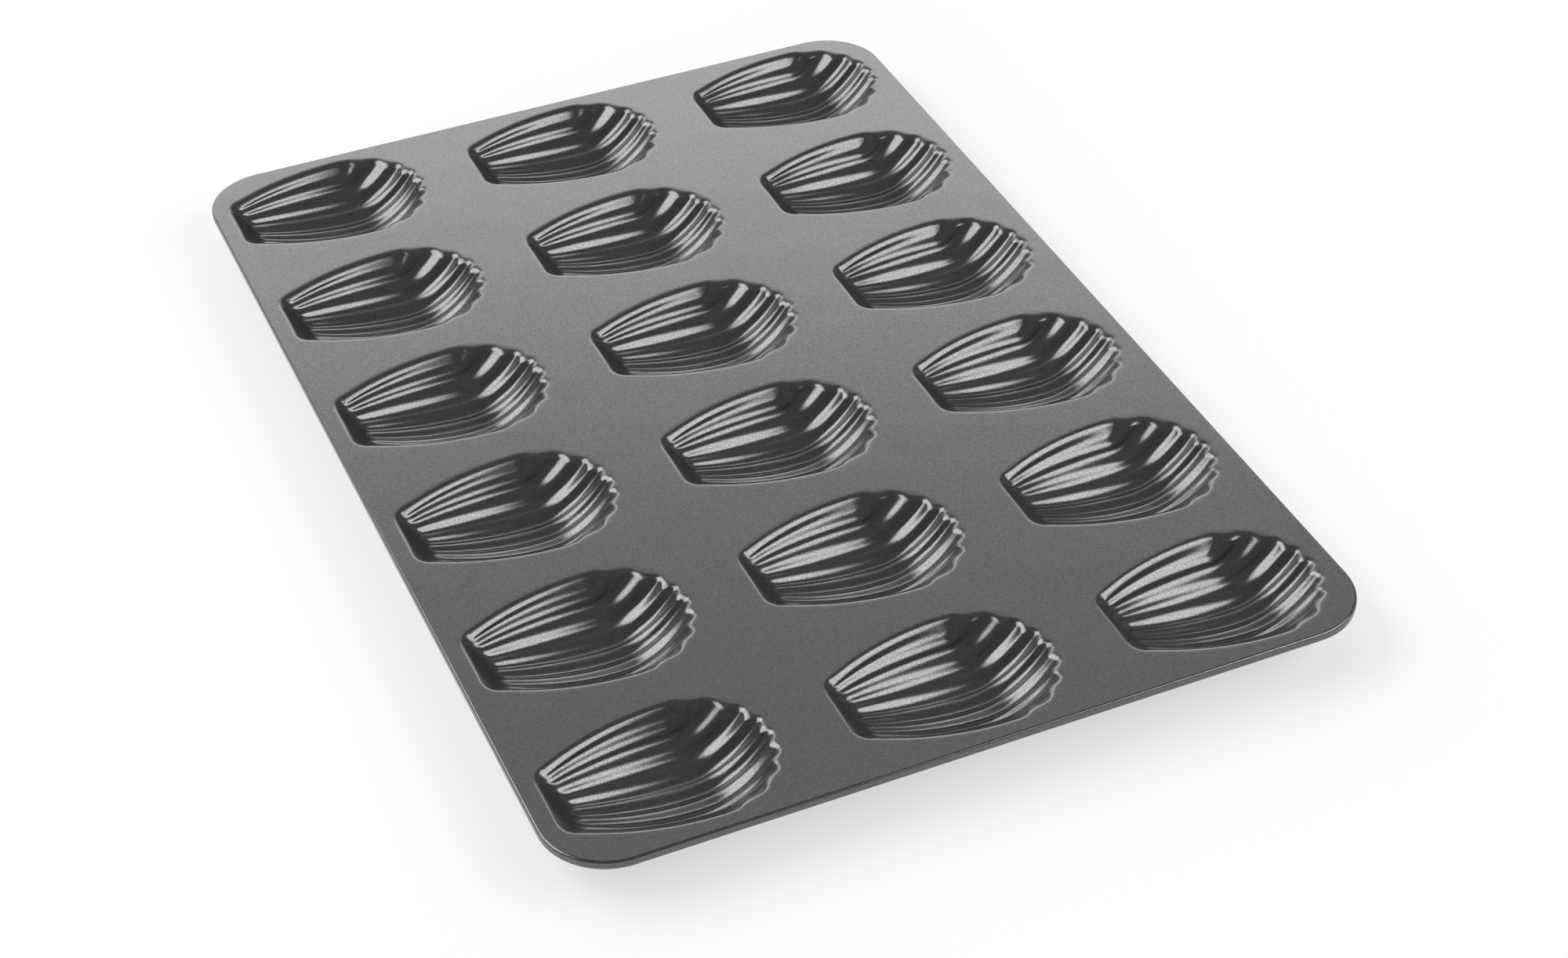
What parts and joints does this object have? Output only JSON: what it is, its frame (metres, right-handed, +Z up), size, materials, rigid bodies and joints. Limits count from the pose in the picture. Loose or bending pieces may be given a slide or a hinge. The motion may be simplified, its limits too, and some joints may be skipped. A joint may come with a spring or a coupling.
{
  "type": "bear paw cookie pan",
  "caption": "Flat non-stick steel baking pan with columns of fluted shell cups drawn down from its deck, and an edge rolled round a stiffening wire.",
  "frame": {"origin": "middle of the pan's outline, on the plane that its cups stand on", "axes": "+X across the pan, along each cup from its narrow end to its round tip; +Y along the pan's long side; +Z up out of the cups"},
  "size_m": [0.27, 0.39, 0.0168],
  "materials": {
    "nonstick_coating": "satin dark grey non-stick coating with a fine grain, over pressed steel sheet",
    "wire_steel": "drawn steel wire, bare"
  },
  "bodies": {
    "root": {"deck": "nonstick_coating", "shell_cup_row1_left": "nonstick_coating", "shell_cup_row1_middle": "nonstick_coating", "shell_cup_row1_right": "nonstick_coating", "shell_cup_row2_left": "nonstick_coating", "shell_cup_row2_middle": "nonstick_coating", "shell_cup_row2_right": "nonstick_coating", "shell_cup_row3_left": "nonstick_coating", "shell_cup_row3_middle": "nonstick_coating", "shell_cup_row3_right": "nonstick_coating", "shell_cup_row4_left": "nonstick_coating", "shell_cup_row4_middle": "nonstick_coating", "shell_cup_row4_right": "nonstick_coating", "shell_cup_row5_left": "nonstick_coating", "shell_cup_row5_middle": "nonstick_coating", "shell_cup_row5_right": "nonstick_coating", "shell_cup_row6_left": "nonstick_coating", "shell_cup_row6_middle": "nonstick_coating", "shell_cup_row6_right": "nonstick_coating", "rolled_rim": "nonstick_coating", "rim_wire": "wire_steel"}
  },
  "joints": []
}
